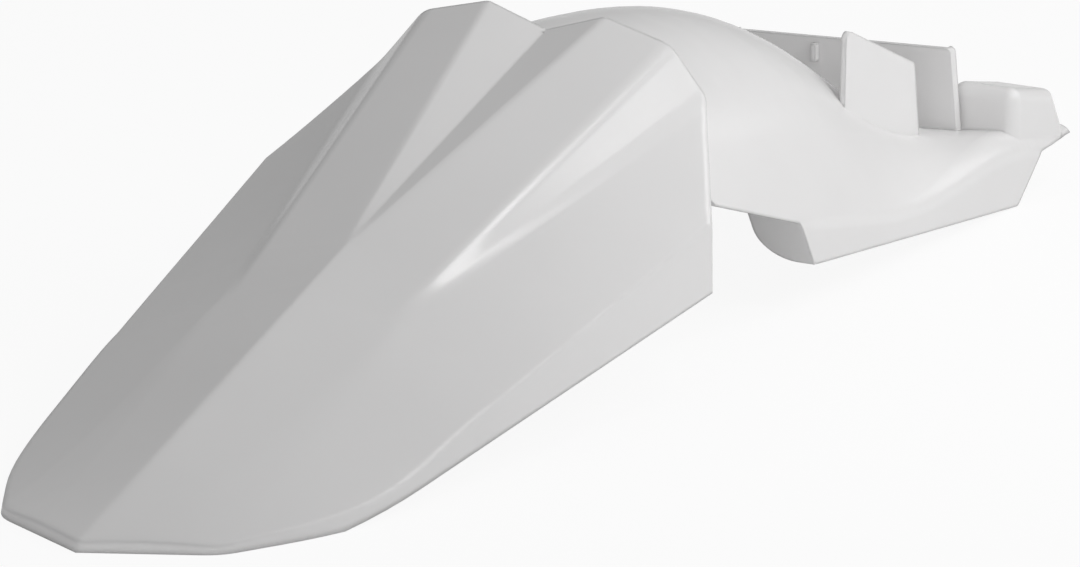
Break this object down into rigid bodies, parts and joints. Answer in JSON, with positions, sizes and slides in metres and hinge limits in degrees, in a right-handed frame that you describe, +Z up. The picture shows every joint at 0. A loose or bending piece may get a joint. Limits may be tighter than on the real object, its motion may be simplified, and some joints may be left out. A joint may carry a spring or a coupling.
{
  "type": "motorcycle rear fender",
  "caption": "Moulded plastic rear fender for an off-road motorcycle: a faceted, creased tail, a step, a wheel arch with side skirts and a mounting tray in front.",
  "frame": {"origin": "under the middle of the bounding box, on the surface the fender lies on", "axes": "+X forward, from the tail to the tray, +Y to the rider's left, +Z up"},
  "size_m": [0.791, 0.2446, 0.1532],
  "materials": {
    "fender": "smooth white moulded plastic with a soft gloss"
  },
  "bodies": {
    "root": {"rear_fender": "fender"}
  },
  "joints": []
}
